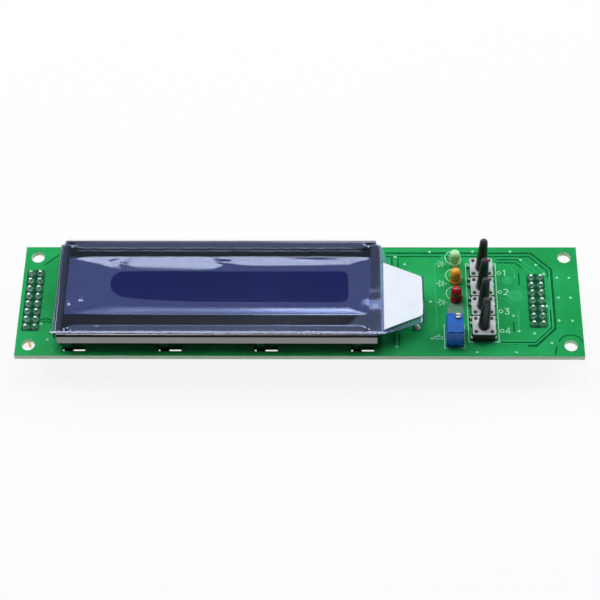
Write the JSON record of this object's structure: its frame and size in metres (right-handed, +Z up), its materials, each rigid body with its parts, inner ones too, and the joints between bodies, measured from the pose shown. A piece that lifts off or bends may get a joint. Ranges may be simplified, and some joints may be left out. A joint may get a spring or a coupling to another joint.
{
  "type": "character lcd module",
  "caption": "Character display in a black steel bezel on a long green circuit board, with a column of tall push keys, indicator lamps, a contrast trimmer and rear headers.",
  "frame": {"origin": "centre of the board's outline in plan, level with the lower ends of the rear headers' pins", "axes": "+X along the board towards the keys, +Y across the board towards the green lamp, +Z up out of the display face"},
  "size_m": [0.153, 0.036, 0.0261],
  "materials": {
    "board_green": "solder mask over glass-epoxy laminate",
    "bezel_black": "satin black paint on stamped steel",
    "lcd_polarizer": "dark blue polarising sheet, gloss",
    "lcd_glass": "clear glass plate",
    "backlight_plastic": "clear and white backlight plastic",
    "contact_rubber": "soft elastomer",
    "clear_film": "clear thin film, gloss and crinkled",
    "tab_white": "white matt film",
    "epoxy_black": "cured black epoxy",
    "resistor_coat": "lacquered resistor body",
    "chip_black": "small chip parts with tinned ends",
    "header_black": "moulded black insulator",
    "pin_gold": "gold-plated pins",
    "solder": "bright solder",
    "tinned_lead": "tinned wire and strip",
    "lamp_green": "tinted epoxy lens",
    "lamp_amber": "tinted epoxy lens",
    "lamp_red": "tinted epoxy lens",
    "trimmer_blue": "moulded blue plastic",
    "screw_brass": "pale plated brass",
    "key_black": "moulded black plastic",
    "key_steel": "plated spring steel"
  },
  "bodies": {
    "module": {"circuit_board": "board_green", "bezel": "bezel_black", "front_polarizer": "lcd_polarizer", "rear_polarizer": "lcd_polarizer", "front_glass": "lcd_glass", "rear_glass": "lcd_glass", "diffuser_sheet": "backlight_plastic", "light_guide": "backlight_plastic", "reflector_sheet": "backlight_plastic", "backlight_lamp_bar": "backlight_plastic", "front_contact_strip": "contact_rubber", "rear_contact_strip": "contact_rubber", "protective_film": "clear_film", "pull_tab": "tab_white", "controller_blob": "epoxy_black", "driver_blob": "epoxy_black", "chip_resistors": "chip_black", "resistor_body": "resistor_coat", "resistor_wires": "tinned_lead", "left_header": "header_black", "right_header": "header_black", "left_header_pins": "pin_gold", "right_header_pins": "pin_gold", "top_solder_joints": "solder", "rear_solder_joints": "solder", "green_lamp": "lamp_green", "amber_lamp": "lamp_amber", "red_lamp": "lamp_red", "green_lamp_leads": "tinned_lead", "amber_lamp_leads": "tinned_lead", "red_lamp_leads": "tinned_lead", "trimmer_body": "trimmer_blue", "trimmer_pins": "tinned_lead", "key_base_1": "key_black", "key_cover_1": "key_steel", "key_dome_1": "key_steel", "key_terminals_1": "tinned_lead", "key_base_2": "key_black", "key_cover_2": "key_steel", "key_dome_2": "key_steel", "key_terminals_2": "tinned_lead", "key_base_3": "key_black", "key_cover_3": "key_steel", "key_dome_3": "key_steel", "key_terminals_3": "tinned_lead", "key_base_4": "key_black", "key_cover_4": "key_steel", "key_dome_4": "key_steel", "key_terminals_4": "tinned_lead"},
    "key_1": {"key_plunger_1": "key_black"},
    "key_2": {"key_plunger_2": "key_black"},
    "key_3": {"key_plunger_3": "key_black"},
    "key_4": {"key_plunger_4": "key_black"},
    "screw": {"trimmer_screw": "screw_brass"}
  },
  "joints": [
    {"name": "key_1_press", "type": "slide", "parent": "module", "child": "key_1", "axis": [0, 0, -1], "range_m": [0, 0.00025], "stiffness_N_per_m": 6000, "deforming": ["key_dome_1"]},
    {"name": "key_2_press", "type": "slide", "parent": "module", "child": "key_2", "axis": [0, 0, -1], "range_m": [0, 0.00025], "stiffness_N_per_m": 6000, "deforming": ["key_dome_2"]},
    {"name": "key_3_press", "type": "slide", "parent": "module", "child": "key_3", "axis": [0, 0, -1], "range_m": [0, 0.00025], "stiffness_N_per_m": 6000, "deforming": ["key_dome_3"]},
    {"name": "key_4_press", "type": "slide", "parent": "module", "child": "key_4", "axis": [0, 0, -1], "range_m": [0, 0.00025], "stiffness_N_per_m": 6000, "deforming": ["key_dome_4"]},
    {"name": "trimmer_turn", "type": "hinge", "parent": "module", "child": "screw", "pos_m": [0.0426, -0.00965, 0.0169], "axis": [0, 0, 1], "continuous": true}
  ]
}
